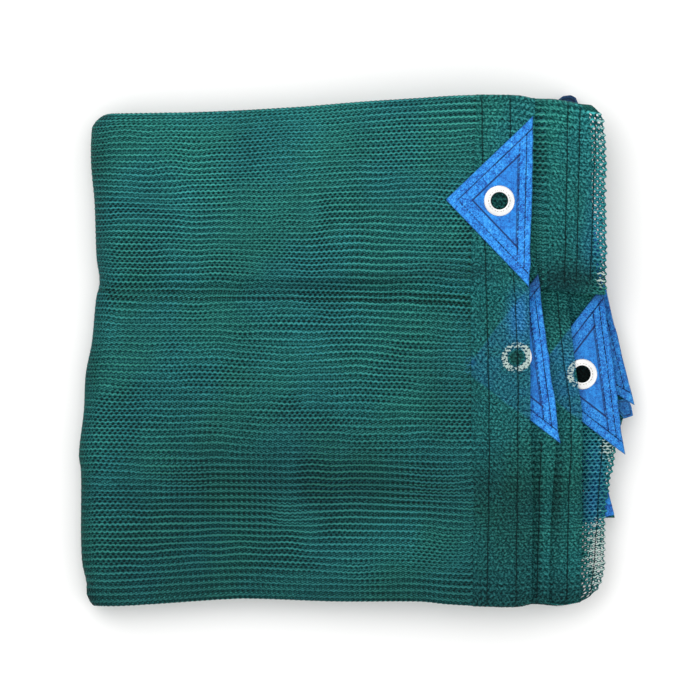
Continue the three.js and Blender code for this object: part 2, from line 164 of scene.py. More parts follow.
edges = {   # layer: X of its hemmed edge at those rows, in the top half and in the bottom half
    "outer": ([130.5, 130, 128.5, 126, 126.5, 127, 127, 127.5, 128.5, 128.5, 128, 128, 127.5],
              [168, 170, 171, 174, 171, 165, 162, 160.5, 159.5, 159.5, 159, 159, 159]),
    "second": ([129, 128.5, 126, 133.5, 138, 142, 146, 145.5, 143.5, 142, 141, 141, 140.5],
               [157, 163, 170, 174, 171, 163.5, 161, 159, 158.5, 158.5, 158, 158, 157.5]),
    "shortUpper": ([173.5, 180.5] + [182] * 11, [166, 168, 170, 174] + [175] * 9),
    "shortLower": ([166, 168, 171, 174] + [177] * 9, [161, 165, 168] + [171] * 10),
    "third": ([160, 159, 153, 154, 157.5, 161, 165, 165, 165, 165, 164.5, 164.5, 164],
              [155, 156, 162, 171, 176.5, 182, 178, 162, 160.5, 159.5, 159, 159, 159]),
    "inner": ([168, 170, 172, 177, 184.5, 188, 192, 189.5, 184.5, 182, 180.5, 175.5, 164],
              [157, 162, 168, 176, 190, 198, 196, 186, 182.5, 189.5, 189.5, 189.5, 189.5]),
    "flap": ([125] * 13, [149] * 13),
}
innerEnd = {"start": -60.0, "share": .51, "startX": -60.0, "fullX": 90.0}      # drawn up from the lower edge
levels = {   # layer: its place in the pile above the short pleat's end, below it and below the flap's end
    "inner": (0, 0, 0), "third": (1, 1, 1), "shortLower": (2, 2, 2), "shortUpper": (3, 3, 3),
    "flap": (3, 3, 3), "second": (4, 2, 2), "outer": (5, 3, 4),
}
stackOrder = ["inner", "third", "shortLower", "shortUpper", "second", "flap", "outer"]
patches = [Patch(*row) for row in (   # half 1 is the top one; x and y are the middle of the long side
    ("outer", 1, 127.6, 109, 178.7, 0, 0), ("second", 1, 140.7, -5.5, 187.5, 2.5, -4.2),
    ("inner", 1, 188.2, -13.9, 187.5, 1.4, 0), ("inner", -1, 188.6, 20.8, 194.1, 1.8, 0),
    ("inner", -1, 135, -88.5, -30.3, 1.9, 0), ("second", -1, 167.8, 126.1, 191.5, 1.8, 0),
)]
patchSize = {"height": 62.5, "eyeletInset": 23.4}
lift = {"flat": 58.0, "gone": 105.0, "seat": .4}       # how the layers over a patch are lifted round it
eyeletSize = {"hole": 6.0, "barrel": 7.2, "flange": 11.3}


def smooth(low, high, value):
    t = np.clip((value - low) / (high - low), 0, 1)
    return t * t * (3 - 2 * t)


def mix(a, b, share):
    return a + (b - a) * share


def along(rows, place):      # a smooth curve through (place, value) rows
    table = np.array(sorted(rows), dtype=float)
    xs, ys = table[:, 0], table[:, 1]
    place = np.clip(np.asarray(place, dtype=float), xs[0], xs[-1])
    i = np.clip(np.searchsorted(xs, place, side="right") - 1, 0, len(xs) - 2)
    low, high = np.maximum(np.arange(len(xs)) - 1, 0), np.minimum(np.arange(len(xs)) + 1, len(xs) - 1)
    slope = (ys[high] - ys[low]) / (xs[high] - xs[low])
    width = xs[i + 1] - xs[i]
    t = (place - xs[i]) / width
    t2, t3 = t * t, t * t * t
    return ((2 * t3 - 3 * t2 + 1) * ys[i] + (t3 - 2 * t2 + t) * width * slope[i]
            + (3 * t2 - 2 * t3) * ys[i + 1] + (t3 - t2) * width * slope[i + 1])


def edgeX(layer, half, row):
    return along(list(zip(edgeRows, edges[layer][0 if half > 0 else 1])), row)


def upperShare(row):         # 1 above the short pleat's end, 0 past its foot
    return 1 - smooth(0, lie["midReach"], lie["midEnd"] - row)


def lowerShare(row):         # 1 below the flap's end
    return smooth(0, lie["lipReach"], lie["lipStart"] - row)


def level(layer, row):
    upper, middle, lower = levels[layer]
    return middle + (upper - middle) * upperShare(row) + (lower - middle) * lowerShare(row)


def layerCount(row):
    return level("outer", row) + 1


def bumps(rows, x, y):       # soft hills and hollows: x, y, reach along x, reach along y, height
    total = np.zeros_like(x, dtype=float)
    for bumpX, bumpY, reachX, reachY, amount in rows:
        total = total + amount * np.exp(-((x - bumpX) / reachX) ** 2 - ((y - bumpY) / reachY) ** 2)
    return total


def spacingAt(x, row):
    right = smooth(lie["spacingFrom"], lie["spacingTo"], x)
    upper, middle, lower = (mix(*lie["spacing"][zone], right) for zone in ("upper", "middle", "lower"))
    up, low = upperShare(row), lowerShare(row)
    swell = 1 + bumps(lie["swells"], *np.broadcast_arrays(x, row))
    return (upper * up + lower * low + middle * (1 - up - low)) * swell


planRows = [lie[key] for key in ("topEnd", "midEnd", "lipEnd", "bottomEnd")]


def knotsAt(x):              # where those four rows lie
    half = lie["clothThickness"] / 2
    return [along(topSide, x) - half, along(midLine, x), along(lipLine, x), along(bottomSide, x) + half]


def carried(start, goal, place):     # from four knots to the four others, zone by zone
    zones = [goal[i] + (place - start[i]) / (start[i + 1] - start[i]) * (goal[i + 1] - goal[i])
             for i in range(3)]
    return np.where(place > start[1], zones[0], np.where(place > start[2], zones[1], zones[2]))


def realY(x, row):
    return carried(planRows, knotsAt(x), row)


def rowAt(x, y):
    return carried(knotsAt(x), planRows, y)


def rankOf(half, layer):
    return half * (stackOrder.index(layer) + .5)


def patchXY(patch, inwards, sideways):
    angle = math.radians(patch.angle)
    return (patch.x + inwards * math.cos(angle) - sideways * math.sin(angle),
            patch.y + inwards * math.sin(angle) + sideways * math.cos(angle))


def liftAt(x, y, rank):
    total = 0.0
    for patch in patches:
        own = rankOf(patch.half, patch.layer)
        px, py = patchXY(patch, patchSize["eyeletInset"] / 2, 0)
        reach = 1 - smooth(lift["flat"], lift["gone"], np.hypot(x - px, y - py))
        total = total + lift["seat"] * reach * smooth(own - .8, own - .2, rank)
        total = total + patch.lift * reach * smooth(own + .2, own + .8, rank)
    return total


def middleHeight(x, row, thickness):
    return (layerCount(row) - .5) * spacingAt(x, row) + thickness / 2


def turnX(row):
    left = along(leftSide, row)
    return left + lie["clothThickness"] / 2 + lie["turnSquash"] * (layerCount(row) - .5) * spacingAt(left, row)


def layerHeight(layer, half, x, y):      # x and y in the folding plan
    row = rowAt(x, y)
    z = middleHeight(x, row, lie["hemThickness"]) + half * (level(layer, row) + .5) * spacingAt(x, row)
    return z + liftAt(x, y, rankOf(half, layer))


def planned(x, y):           # from the frame to the folding plan
    return x - lie["offset"][0], y - lie["offset"][1]


def framed(x, y, z):         # and back, as points
    return np.stack([x + lie["offset"][0], y + lie["offset"][1], z], axis=-1)


# One long strip of cloth, as it goes back and forth: layer, first row, last row, where its fold turns
foldDepth, wrapInset, wrapDepth = 1.6, 4.0, 4.8
foldedBottom, outerTop = lie["bottomEnd"] + foldDepth, lie["topEnd"] - foldDepth
wrappedTop = lie["topEnd"] - wrapInset
strip = [
    ("flap", lie["lipEnd"], foldedBottom, lie["bottomEnd"]),
    ("outer", foldedBottom, outerTop, lie["topEnd"]),
    ("second", outerTop, foldedBottom, lie["bottomEnd"]),
    ("third", foldedBottom, wrappedTop - foldDepth, wrappedTop),
    ("shortLower", wrappedTop - foldDepth, lie["midEnd"] + foldDepth, lie["midEnd"]),
    ("shortUpper", lie["midEnd"] + foldDepth, lie["topEnd"] - wrapDepth, lie["topEnd"]),
    ("inner", lie["topEnd"] - wrapDepth, lie["bottomEnd"], None),
]
hemPlus = lie["hemWidth"] + lie["hemStep"]
farInside = 99.0             # stands for any place beyond the hem


def foldPlace(row, foldTo, layer, other, angle):
    return Place(mix(row, foldTo, math.sin(angle)), layer, other, (1 - math.cos(angle)) / 2)


def stripPlaces(rowStep, foldSteps):     # down the whole strip
    places = []
    for k, (layer, first, last, foldTo) in enumerate(strip):
        count = max(2, round(abs(last - first) / rowStep))
        places += [Place(row, layer, layer, 0.0) for row in np.linspace(first, last, count + 1)]
        if foldTo is not None:
            places += [foldPlace(last, foldTo, layer, strip[k + 1][0], math.pi * step / foldSteps)
                       for step in range(1, foldSteps)]
    return places


def stripColumns(hemSteps, bodySteps, turnSteps):     # from hem to hem round the left fold
    def across(half):
        hem = [Column(half, float(d), None, 0.0) for d in np.linspace(0, lie["hemWidth"], hemSteps + 1)]
        return hem + [Column(half, None, float(s), 0.0) for s in np.linspace(1, 0, bodySteps + 1)]
    turns = [Column(0, None, None, math.pi * k / turnSteps) for k in range(1, turnSteps)]
    return across(1) + turns + across(-1)[::-1]


def hemPlace(columns):       # mm from the hemmed edge, or farInside
    return np.array([[farInside if c.fromEdge is None else c.fromEdge for c in columns]])


def perPlace(places, rule):      # a rule of layer and row, eased over the folds
    values = []
    for row, layer, other, share in places:
        value = float(rule(layer, row))
        values.append(value if layer == other else mix(value, float(rule(other, row)), share))
    return np.array(values)[:, None]


def clothGrid(places, columns):
    row = np.array([p.row for p in places])[:, None]
    height = perPlace(places, level)
    left = turnX(row)
    grid = np.zeros((len(places), len(columns), 3))
    for half in (1, -1):
        own = [k for k, c in enumerate(columns) if c.half == half]
        if not own:
            continue
        fromEdge = hemPlace([columns[k] for k in own])
        bodyShare = np.array([[columns[k].share or 0.0 for k in own]])
        inHem = fromEdge < farInside

        def xOf(start, edge):
            return np.where(inHem, edge - fromEdge, mix(start, edge - hemPlus, bodyShare))

        x = xOf(left, perPlace(places, lambda layer, at: edgeX(layer, half, at)))
        rows = np.broadcast_to(row, x.shape).copy()
        start = innerEnd["start"]
        drawn = np.array([half < 0 and p.layer == "inner" and p.row < start for p in places])
        if drawn.any():
            pull = smooth(innerEnd["startX"], innerEnd["fullX"], x[drawn])
            rows[drawn] = start + (rows[drawn] - start) * mix(1, innerEnd["share"], pull)
            x[drawn] = xOf(left[drawn], edgeX("inner", -1, rows[drawn]))
        thick = np.where(inHem & (fromEdge <= lie["hemWidth"]), lie["hemThickness"], lie["clothThickness"])
        rank = perPlace(places, lambda layer, at: rankOf(half, layer))
        y = realY(x, rows)
        z = middleHeight(x, rows, thick) + half * (height + .5) * spacingAt(x, rows) + liftAt(x, y, rank)
        grid[:, own] = framed(x, y, z)
    turns = [k for k, c in enumerate(columns) if c.half == 0]
    if turns:
        angle = np.array([[columns[k].turn for k in turns]])
        radius = (height + .5) * spacingAt(left, row)
        x = left - lie["turnSquash"] * radius * np.sin(angle)
        z = middleHeight(left, row, lie["clothThickness"]) + radius * np.cos(angle)
        grid[:, turns] = framed(x, np.broadcast_to(realY(left, row), x.shape), z)
    return grid


def gridNormals(grid):
    normal = np.cross(np.gradient(grid, axis=1), np.gradient(grid, axis=0))
    return normal / np.maximum(np.linalg.norm(normal, axis=2, keepdims=True), 1e-9)


def meshOf(name, points, faces, uv, values, material):
    # points in mm; uv and values are one for all points, for a row or a column of them, or for each
    used = np.zeros(points.shape[:2], dtype=bool)
    used.flat[faces.ravel()] = True
    faces = (np.cumsum(used) - 1)[faces]

    def perPoint(data):
        return np.broadcast_to(data, used.shape)[used].astype(np.float32)

    flat = np.stack([perPoint(part) for part in uv], axis=1)
    points = points[used] * mm
    mesh = bpy.data.meshes.new(name)
    mesh.vertices.add(len(points))
    mesh.vertices.foreach_set("co", points.astype(np.float32).ravel())
    mesh.loops.add(faces.size)
    mesh.loops.foreach_set("vertex_index", faces.ravel().astype(np.int32))
    mesh.polygons.add(len(faces))
    mesh.polygons.foreach_set("loop_start", np.arange(0, faces.size, faces.shape[1], dtype=np.int32))
    mesh.update(calc_edges=True)
    layer = mesh.uv_layers.new(name="cloth")
    layer.uv.foreach_set("vector", flat[faces.ravel()].ravel())
    for key, data in values.items():
        mesh.attributes.new(key, "FLOAT", "POINT").data.foreach_set("value", perPoint(data))
    mesh.polygons.foreach_set("use_smooth", np.ones(len(faces), dtype=bool))
    mesh.validate()
    mesh.materials.append(material)
    return placed(name, mesh)


def quadsOf(rows, columns, keep=None):
    index = np.arange(rows * columns).reshape(rows, columns)
    quads = np.stack([index[:-1, :-1], index[:-1, 1:], index[1:, 1:], index[1:, :-1]], axis=-1)
    return quads.reshape(-1, 4) if keep is None else quads[keep]


def thicken(piece, thickness):
    solid = piece.modifiers.new("thickness", "SOLIDIFY")
    solid.thickness = thickness * mm
    solid.offset = 0.0
    deselectAll()
    piece.select_set(True)
    bpy.context.view_layer.objects.active = piece
    bpy.ops.object.modifier_apply(modifier=solid.name)


def softNoise(x, y, seed, grain=1.0):     # a smooth random field from -1 to 1
    lattice = np.random.default_rng(seed).uniform(-1, 1, (64, 64))
    x, y = np.asarray(x) / grain, np.asarray(y) / grain
    i, j = np.floor(x).astype(int), np.floor(y).astype(int)
    u, v = x - i, y - j
    u, v = u * u * (3 - 2 * u), v * v * (3 - 2 * v)
    low, high = (mix(lattice[i % 64, (j + k) % 64], lattice[(i + 1) % 64, (j + k) % 64], u) for k in (0, 1))
    return mix(low, high, v)


# Shader building
class Flow:                  # a socket, or a number, that takes part in sums
    def __init__(self, board, socket):
        self.board, self.socket = board, socket

    def sum(self, operation, *values):
        return self.board.add("ShaderNodeMath", {"operation": operation}, list(values))

    def __add__(self, other): return self.sum("ADD", self, other)
    def __radd__(self, other): return self.sum("ADD", other, self)
    def __sub__(self, other): return self.sum("SUBTRACT", self, other)
    def __rsub__(self, other): return self.sum("SUBTRACT", other, self)
    def __mul__(self, other): return self.sum("MULTIPLY", self, other)
    def __rmul__(self, other): return self.sum("MULTIPLY", other, self)
    def __truediv__(self, other): return self.sum("DIVIDE", self, other)
    def __neg__(self): return self.sum("MULTIPLY", self, -1.0)
    def __abs__(self): return self.sum("ABSOLUTE", self)
    def cos(self): return self.sum("COSINE", self)
    def sin(self): return self.sum("SINE", self)
    def clamp(self): return self.sum("MINIMUM", self.sum("MAXIMUM", self, 0.0), 1.0)

    def ease(self, low, high):
        return self.board.add("ShaderNodeMapRange", {"interpolation_type": "SMOOTHSTEP"},
                              {"Value": self, "From Min": low, "From Max": high})


class Board:                 # one material and its nodes
    def __init__(self, name):
        self.material = bpy.data.materials.new(name)
        self.material.use_nodes = True
        self.tree = self.material.node_tree
        self.shader = self.tree.nodes["Principled BSDF"]

    def add(self, kind, settings=None, sockets=None, out=0):
        node = self.tree.nodes.new(kind)
        for key, value in (settings or {}).items():
            setattr(node, key, value)
        pairs = enumerate(sockets) if isinstance(sockets, list) else (sockets or {}).items()
        for key, value in pairs:
            self.feed(node.inputs[key], value)
        return Flow(self, node.outputs[out])

    def feed(self, socket, value):
        if isinstance(value, Flow):
            self.tree.links.new(value.socket, socket)
        elif isinstance(value, (tuple, list)) and len(value) == 3 and socket.type == "RGBA":
            socket.default_value = (*value, 1)
        else:
            socket.default_value = value

    def set(self, **values):
        for key, value in values.items():
            self.feed(self.shader.inputs[key.replace("_", " ")], value)

    def blend(self, share, a, b, kind="MIX"):     # colours
        return self.add("ShaderNodeMix", {"data_type": "RGBA", "blend_type": kind},
                        {0: share, 6: a, 7: b}, out=2)

    def shaded(self, colour):      # times the painted light and shade kept on the points
        shade = self.attribute("shade")
        return self.blend(1.0, colour, self.join(shade, shade, shade), "MULTIPLY")

    def ramp(self, value, stops):
        node = self.tree.nodes.new("ShaderNodeValToRGB")
        elements = node.color_ramp.elements
        while len(elements) > 1:
            elements.remove(elements[-1])
        elements[0].position, elements[0].color = stops[0][0], (*stops[0][1], 1)
        for place, colour in stops[1:]:
            elements.new(place).color = (*colour, 1)
        self.feed(node.inputs[0], value)
        return Flow(self, node.outputs[0])

    def attribute(self, name):
        return self.add("ShaderNodeAttribute", {"attribute_name": name}, out=2)

    def uv(self):
        return self.split(self.add("ShaderNodeUVMap", {"uv_map": "cloth"}))[:2]

    def here(self):          # the place on the object, in metres
        return self.add("ShaderNodeTexCoord", out=3)

    def split(self, vector):
        node = self.tree.nodes.new("ShaderNodeSeparateXYZ")
        self.feed(node.inputs[0], vector)
        return [Flow(self, node.outputs[k]) for k in range(3)]

    def join(self, x, y, z=0.0):
        return self.add("ShaderNodeCombineXYZ", sockets=[x, y, z])

    def noise(self, vector, scale, detail=2.0, roughness=.5, kind="FBM"):
        return self.add("ShaderNodeTexNoise", {"noise_dimensions": "3D", "noise_type": kind, "normalize": True},
                        {"Vector": vector, "Scale": scale, "Detail": detail, "Roughness": roughness})

    def grain(self, x, y, z=0.0, detail=3.0, roughness=.65):     # noise round 0
        return self.noise(self.join(x, y, z), 1.0, detail, roughness) - .5

    def bump(self, height, strength, distance):
        return self.add("ShaderNodeBump", None, {"Height": height, "Strength": strength, "Distance": distance})


# The knit
knit = {
    "wale": 4.0,             # mm from hole to hole across
    "course": 4.87,          # mm from every second row of holes to the next
    "wave": .085,            # how far the strands swing, in courses
    "perCell": 6,            # faces along each side of one hole's share
    # dark, base and light run from painted shade down the holes, over the yarn's own green, to painted
    # highlight on the strand tops
    "dark": (.0004, .014, .017),
    "base": (.0020, .066, .073),
    "light": (.041, .285, .288),
    "cast": (1.08, 1.05, .88),
    "pale": (.42, .53, .49),
    "through": ((.0012, .020, .060), (.0060, .085, .210), (.060, .270, .520)),     # over a blue patch
    "stops": (0.0, .42, 1.0),
    "plainLook": {"strand": .26, "hole": .23, "rib": .33, "rest": .425},
    "denseLook": {"strand": .06, "hole": .07, "rib": .12, "fleck": 2.3, "rest": .50},
    "roughness": .62,
    "specular": .08,
    "bumpDistance": .0008,
}


def knitFields(u, v, cos=np.cos):        # the strands, the holes between them and the courses
    course = cos(fullTurn * (v - .25))
    strand = cos(fullTurn * (2 * v - .5) - 2 * fullTurn * knit["wave"] * cos(fullTurn * u) * course)
    hole = cos(fullTurn * u) * cos(fullTurn * v)
    return strand, hole, course


def secondPly(u, v):         # the hem's lower ply lies a little askew under the upper one
    return u * 1.04 + .23 + v * .012, v * .965 + .37


def netMaterial(name, bumpStrength):
    board = Board(name)
    u, v = board.uv()
    strand, hole, course = knitFields(u, v, Flow.cos)
    strand2, hole2, _ = knitFields(*secondPly(u, v), Flow.cos)
    hem, tint, rib, pale = (board.attribute(key) for key in ("hem", "tint", "rib", "pale"))
    uneven = board.grain(u * 2.0, v * 2.0)
    twist = board.grain(u * 3.0, v * 9.0, detail=2.0, roughness=.6)
    fleck = board.grain(u * 2.5 + v * .9, v * 3.6 - u * .8, roughness=.6)
    cast = board.noise(board.join(u * .06, v * .08), 1.0)
    plain, dense = knit["plainLook"], knit["denseLook"]
    # strands and ribs lighter and holes darker: the knit's own pattern, with painted highlight and painted
    # shade on it
    plainLook = strand * plain["strand"] - hole * plain["hole"] + course * rib * plain["rib"] + plain["rest"]
    denseLook = ((strand + strand2) * dense["strand"] - (hole + hole2) * dense["hole"]
                 + course * rib * dense["rib"] + fleck * dense["fleck"] + dense["rest"])
    look = (plainLook * (1 - hem) + denseLook * hem + uneven + twist * .65).clamp()
    colour = board.ramp(look, list(zip(knit["stops"], (knit["dark"], knit["base"], knit["light"]))))
    colour = board.blend(cast.ease(.35, .65), colour, board.blend(1.0, colour, knit["cast"], "MULTIPLY"))
    colour = board.blend(tint, colour, board.ramp(look, list(zip(knit["stops"], knit["through"]))))
    paleShare = (look - (1 - pale) * 1.2 + .55).ease(.45, .75) * pale.ease(.02, .2)
    board.set(Base_Color=board.blend(paleShare, board.shaded(colour), knit["pale"]),
              Roughness=knit["roughness"], Specular_IOR_Level=knit["specular"],
              Normal=board.bump(look, bumpStrength, knit["bumpDistance"]))
    return board.material


openKnit = netMaterial("openKnit", .55)
backKnit = netMaterial("backKnit", .9)

# Soft painted light and shade of the cloth as it lies, in the frame's mm
looks = {
    # down: y, and how light; painted light near the top, painted shade towards the bottom
    "down": [(188, .98), (176, 1.12), (150, 1.06), (110, 1.02), (66, .96), (37, .87), (-7, .85), (-58, .81),
             (-80, .66), (-101, .52), (-131, .58), (-160, .60), (-178, .49), (-187, .38)],
    "shadeSpots": {   # layer: x, y, reach along x, reach along y, how much lighter or darker, as painted light and shade
        "outer": [
            (35, -142, 48, 20, .42), (-8, 0, 95, 42, .05), (-122, -156, 50, 22, -.22),
            (-98, 48, 30, 5, -.12), (-41, 50, 34, 5, -.36), (17, 53, 34, 6, -.36), (78, 58, 30, 6.5, -.36),
            (80, 40, 30, 8, .36), (10, -101, 80, 9, -.20), (-120, -150, 40, 60, -.06),
            (-186, 132, 13, 34, -.26), (-190, -100, 17, 75, .42), (-186, 24, 16, 24, .20),
            (-50, -82, 85, 30, -.18), (68, -22, 28, 26, -.17), (76, 100, 16, 34, .15),
            (-18, 118, 18, 45, .11), (-65, 105, 16, 36, .11), (-112, 102, 16, 14, -.11),
            (-125, 34, 50, 12, .10), (-52, -148, 26, 14, .16), (42, -122, 22, 12, .12),
            (96, 0, 12, 55, .12), (118, 26, 9, 18, .50), (-125, 120, 45, 45, .08), (20, 150, 60, 16, .05),
        ],
        "shortUpper": [(152, 52, 40, 12, -.60), (147, 115, 14, 32, .14), (132, 90, 5, 90, -.25),
                       (160, 170, 40, 9, .12)],
        "second": [(133, -112, 3.2, 62, -.35), (138, -120, 9, 66, .50), (138, -176, 12, 12, -.15),
                   (140, 22, 14, 26, -.20)],
        "third": [(146.5, -104, 3.4, 30, -.45), (150, 24, 16, 22, -.25), (149, 2, 12, 26, .50),
                  (156, -125, 10, 62, .42), (158, -176, 14, 12, -.15)],
        "inner": [(176, -181, 20, 7, -.35), (177, -120, 12, 62, .42)],
    },
    "ribs": {   # the same for how far the courses stand out as ribs
        "outer": [(20, -105, 90, 28, .9), (-110, -135, 70, 50, .80), (45, -150, 40, 20, -.35),
                  (60, 60, 60, 26, .35), (-40, -10, 90, 40, .20), (100, 172, 70, 12, .9),
                  (95, -172, 60, 12, .9)],
        "shortUpper": [(152, 172, 40, 12, 1.0)],
        "second": [(133, -112, 4, 62, 1.4), (140, -172, 14, 14, .8)],
        "third": [(146.5, -104, 4, 30, 1.4), (160, -172, 16, 14, .8)],
    },
    "blue": {   # and for the blue of a patch under it
        "outer": [(83, -7, 3.2, 3.2, .6), (118, 26, 8, 20, .80)],
        "shortUpper": [(174, 100, 8, 26, .26), (171, 70, 9, 20, .22)],
        "inner": [(176, -84, 9, 22, .42), (172, -112, 7, 16, .6)],
    },
    "pale": {   # and for the pale gaps where little lies under it
        "inner": [(183, -70, 7, 12, .62), (176, -150, 11, 34, .62)],
        "shortUpper": [(178, 52, 4, 8, .6), (178, 158, 4, 26, .35)],
    },
    "under": {"outer": (1, .42), "third": (2, .72)},      # layer: the patch it lies on, and how blue that looks
    # painted shade towards the left fold: how dark at the fold, and over how many mm it fades
    "leftFoldShade": (.62, 18.0),
}
hemLines = {   # layer: [(y, x), ...] of each line in the folding plan's top half
    "outer": [[(184, 91.5), (110, 92.5), (40, 95), (0, 96), (-72, 96.9), (-184, 95.4)],
              [(184, 112), (110, 113), (60, 114.5), (0, 117.5), (-72, 117.7), (-184, 116.6)]],
    "shortUpper": [[(180, 154.6), (50, 151.7)], [(178, 163.4), (50, 160.4)], [(174, 175), (50, 170.5)]],
    "second": [[(-66, 134.9), (-184, 131.9)]],
    "third": [[(42, 146.6), (0, 150.6), (-50, 156.8), (-110, 155.3), (-184, 153.9)]],
    "inner": [[(-66, 180), (-110, 177), (-150, 174.5), (-180, 171)]],
}


def seamShade(layer, x, y):      # painted shade where the cloth draws in along its stitches
    shade = np.ones_like(x)
    for line in hemLines.get(layer, []):
        inside = smooth(line[-1][0] - 3, line[-1][0], y) * (1 - smooth(line[0][0], line[0][0] + 3, y))
        gap = planned(x, y)[0] - along(line, y)
        shade = shade * (1 - .34 * inside * np.exp(-(gap / .7) ** 2))
    return shade


def warp(x, y):              # the courses don't lie quite straight
    calm = smooth(0, 26, 182 - np.abs(y))
    slope = bumps([(62, -118, 40, 26, -1.6)], x, y)
    return calm * (1.5 * softNoise(x * .55, y, 41, 30) + .9 * softNoise(x, y * 1.4, 42, 17) + slope)


def inPatch(patch, x, y):    # 1 over the patch, 0 beside it
    angle = math.radians(patch.angle)
    x, y = planned(x, y)
    dx, dy = x - patch.x, y - patch.y
    inwards = dx * math.cos(angle) + dy * math.sin(angle)
    sideways = -dx * math.sin(angle) + dy * math.cos(angle)
    return smooth(-1, 1.5, inwards) * smooth(-1, 1.5, patchSize["height"] - inwards - np.abs(sideways))


def fromEyelet(patch, x, y):
    eyeX, eyeY = patchXY(patch, patchSize["eyeletInset"], patch.aside)
    x, y = planned(x, y)
    return np.hypot(x - eyeX, y - eyeY)


def clothLooks(layer, x, y, fromEdge):
    own = {kind: bumps(looks[kind].get(layer, []), x, y) for kind in ("shadeSpots", "ribs", "blue", "pale")}
    hem = 1 - smooth(lie["hemWidth"] - 1.5, lie["hemWidth"] + .5, fromEdge)
    left = along(leftSide, np.clip(rowAt(x, y), lie["bottomEnd"], lie["topEnd"]))
    low, reach = looks["leftFoldShade"]
    # painted light and shade: down the pile, in spots and towards the left fold
    shade = along(looks["down"], y) * (1 + own["shadeSpots"]) * mix(low, 1, smooth(-3, reach, x - left))
    shade = shade * (1 + .10 * softNoise(x, y, 5, 38) + .06 * softNoise(x * 3, y * .3, 6, 30)
                     + .06 * softNoise(x, y, 8, 9))
    shade = shade * seamShade(layer, x, y)
    rib = .38 + .30 * softNoise(x, y, 7, 60) + .16 * softNoise(x, y, 9, 14) + own["ribs"]
    tint, pale = own["blue"], own["pale"]
    if layer in looks["under"]:      # a patch and the ring of its eyelet shine through
        number, amount = looks["under"][layer]
        tint = tint + amount * inPatch(patches[number], x, y) * (.75 + .25 * softNoise(x, y, 12, 6))
        away = fromEyelet(patches[number], x, y)
        edge = eyeletSize["flange"]
        ringShare = smooth(6.0, 7.0, away) * (1 - smooth(edge - .6, edge + .4, away))
        pale = pale + ringShare * (.62 + .25 * softNoise(x, y, 13, 5))
        # painted shade down the eyelet's hole
        shade = shade * (1 - .45 * (1 - smooth(3.5, 6.5, away)))
        tint = tint * smooth(5, 7, away)
    return {"hem": hem, "shade": np.clip(shade, .1, 1.6), "rib": np.clip(rib, 0, 1.8),
            "tint": np.clip(tint, 0, 1), "pale": np.clip(pale, 0, 1)}


# The knitted skins, laid over the folded cloth where it shows
skin = {
    "faces": (69, 426, 48),      # across the hem, the body and the left fold
    "turn": math.pi * .62,       # how far they go round the left fold
    "quarter": 1.57,             # way round a quarter of a fold, for each mm of its depth
    "bodyWidth": 328.0,          # mm of cloth between the hem and the left fold
    "holePull": .26,             # how far a hole's corners are drawn in, in faces
    "raised": .45, "hemRaised": .35,      # mm over the middle of the cloth
    "edgePly": .55, "edgeHem": .12, "edgeShade": 1.25,      # of the see-through edges
}


def skinRows(layer, low, high):      # rows of one layer, a quarter round the fold where they pass its end
    k = [s[0] for s in strip].index(layer)
    _, first, last, foldTo = strip[k]
    ends = {first: (strip[k - 1][3], strip[k - 1][0])} if k else {}
    if foldTo is not None:
        ends[last] = (foldTo, strip[k + 1][0])
    rows = []
    for row in np.arange(low, high + .01, knit["course"] / knit["perCell"]):
        near = min(max(row, min(first, last)), max(first, last))
        if near == row or near not in ends:
            rows.append(Place(near, layer, layer, 0.0))
            continue
        foldTo, neighbour = ends[near]
        angle = min(abs(row - near) / abs(foldTo - near) / skin["quarter"], 1) * math.pi / 2
        rows.append(foldPlace(near, foldTo, layer, neighbour, angle))
    return rows


def skinColumns(start, width):      # inwards from the hemmed edge, or over the whole half and the left fold
    if width is None:
        hem, body, fold = skin["faces"]
        columns = [Column(1, k / hem * hemPlus, None, 0.0) for k in range(hem + 1)]
        columns += [Column(1, None, 1 - k / body, 0.0) for k in range(1, body + 1)]
        return columns + [Column(0, None, None, skin["turn"] * k / fold) for k in range(1, fold + 1)]
    places = np.arange(start, start + width + .01, knit["wale"] / knit["perCell"])
    return [Column(1, float(d), None, 0.0) if d <= hemPlus
            else Column(1, None, float(1 - (d - hemPlus) / skin["bodyWidth"]), 0.0) for d in places]


def nearHole(iu, iv, shift):         # the four faces round each hole's middle
    cell = knit["perCell"]
    a, b = (iu + shift) % cell, (iv + shift) % cell
    return ((a == 0) | (a == cell - 1)) & ((b == 0) | (b == cell - 1))


def rounded(points, iu, iv):         # corners of the holes drawn in a little, so that they are round
    cell = knit["perCell"]
    half = cell // 2
    stepU, stepV = (points[:, 2:] - points[:, :-2]) / 2, (points[2:] - points[:-2]) / 2
    moved = points.copy()
    for shift in (0, half):
        a, b = (iu + shift) % cell, (iv + shift) % cell
        a, b = np.where(a > half, a - cell, a), np.where(b > half, b - cell, b)
        pull = np.where((np.abs(a) == 1) & (np.abs(b) == 1), skin["holePull"], 0.0)[1:-1, 1:-1, None]
        moved[1:-1, 1:-1] -= pull * (a[1:-1, 1:-1, None] * stepU[1:-1] + b[1:-1, 1:-1, None] * stepV[:, 1:-1])
    return moved


def closedSkin(grid, u, v, values):      # how far it stands out, in mm, and which holes are closed
    strand, hole, course = knitFields(u, v)
    strand2, hole2, _ = knitFields(*secondPly(u, v))
    hem, rib = values["hem"], values["rib"]
    rough = np.random.default_rng(11).uniform(-1, 1, u.shape)
    plain = .10 * strand - .22 * np.clip(hole, -.6, 1) + .22 * course * rib + .03 * rough
    dense = (.05 * (strand + strand2) - .04 * (hole + hole2) + .10 * course * rib
             + .12 * softNoise(u * 2.5, v * 3.5, 21) + .09 * rough)
    fill = softNoise(grid[:, :, 0], grid[:, :, 1], 31, 26) + .5 * softNoise(grid[:, :, 0], grid[:, :, 1], 32, 7)
    return mix(plain, dense, hem) + skin["raised"] + skin["hemRaised"] * hem, (hem >= .5) | (fill <= -.62)


